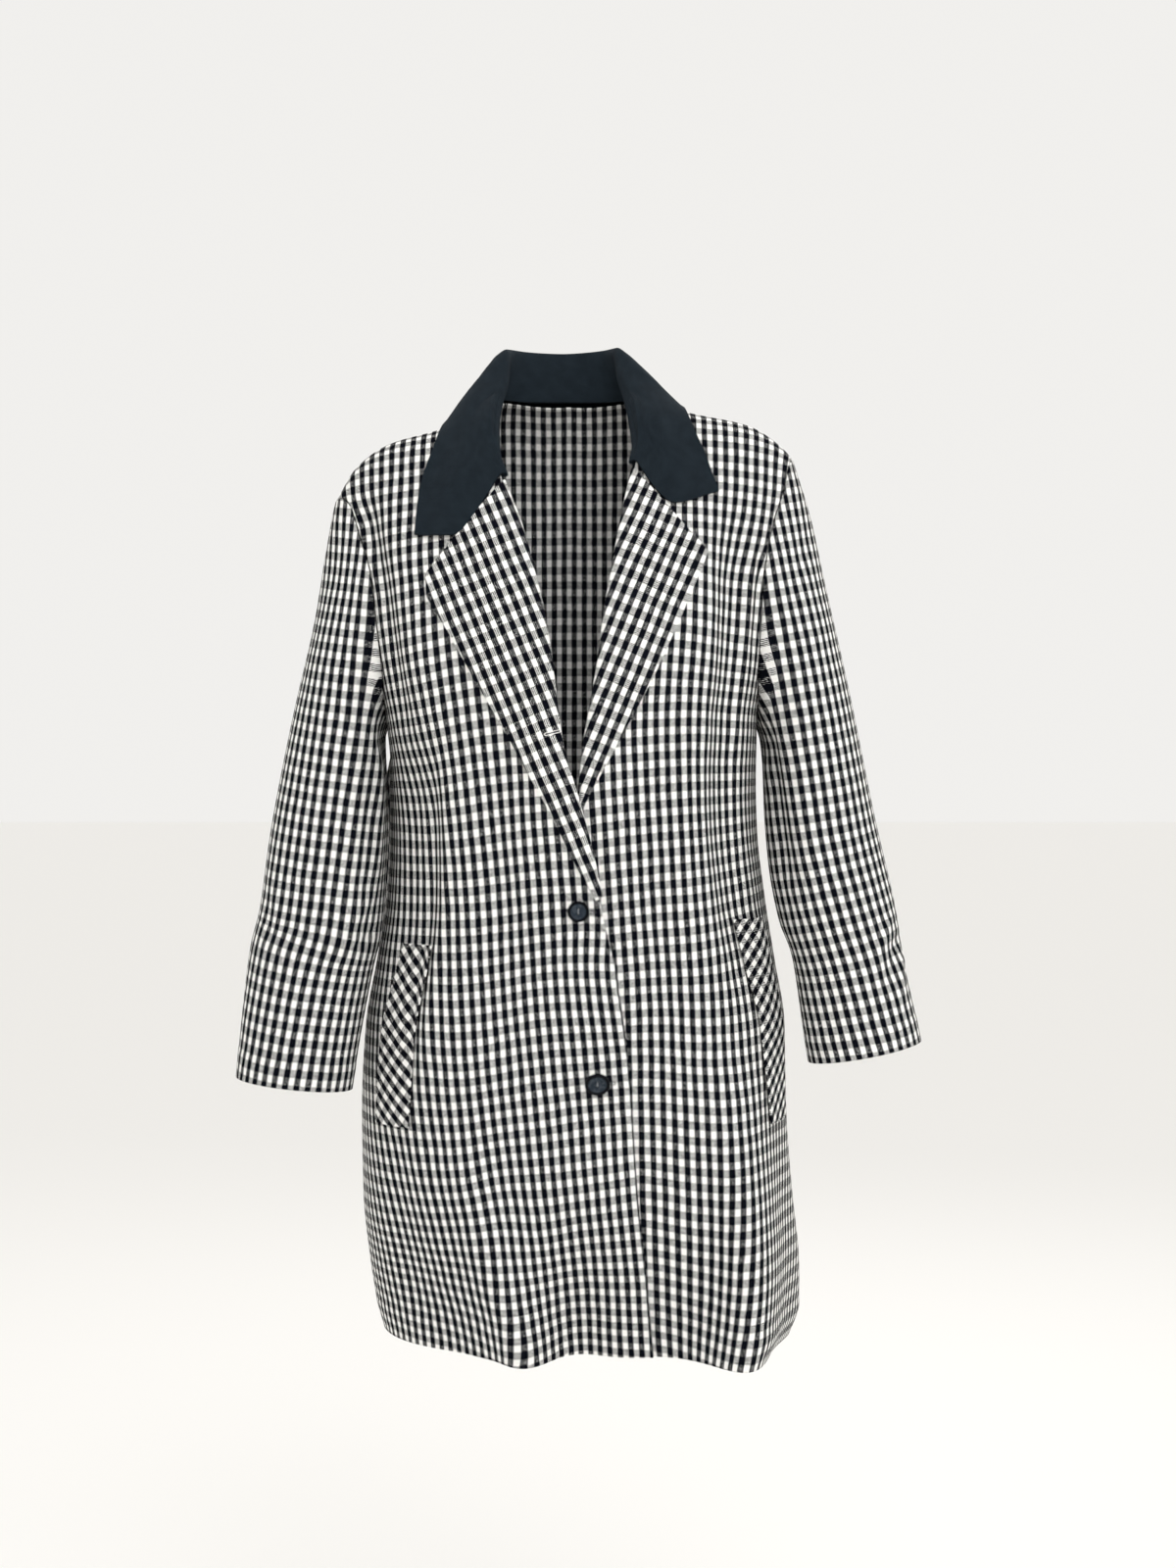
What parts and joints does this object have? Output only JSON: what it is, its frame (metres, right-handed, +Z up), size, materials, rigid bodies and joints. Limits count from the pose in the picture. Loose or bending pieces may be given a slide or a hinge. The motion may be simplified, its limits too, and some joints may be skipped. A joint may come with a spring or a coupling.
{
  "type": "checked coat",
  "caption": "Single-breasted long-sleeved checked coat in its worn shape, with a plain dark collar, notched lapels and slanting pocket welts.",
  "frame": {"origin": "the middle of the neck at the level of the shoulder points, where the wearer holds the coat up", "axes": "+Z up, +X to the wearer's left, the front faces -Y"},
  "size_m": [0.6312, 0.3085, 0.9394],
  "materials": {
    "check_cloth": "soft woven wool-type cloth in a small dark and cream gingham check",
    "navy_twill": "plain matt twill",
    "slate_button": "polished dark slate"
  },
  "bodies": {
    "root": {"front_right": "check_cloth", "front_left": "check_cloth", "back": "check_cloth", "sleeve_right": "check_cloth", "sleeve_left": "check_cloth", "collar": "navy_twill", "lapel_right": "check_cloth", "lapel_left": "check_cloth", "pocket_welt_right": "check_cloth", "pocket_welt_left": "check_cloth", "button_upper": "slate_button", "button_lower": "slate_button"}
  },
  "joints": []
}
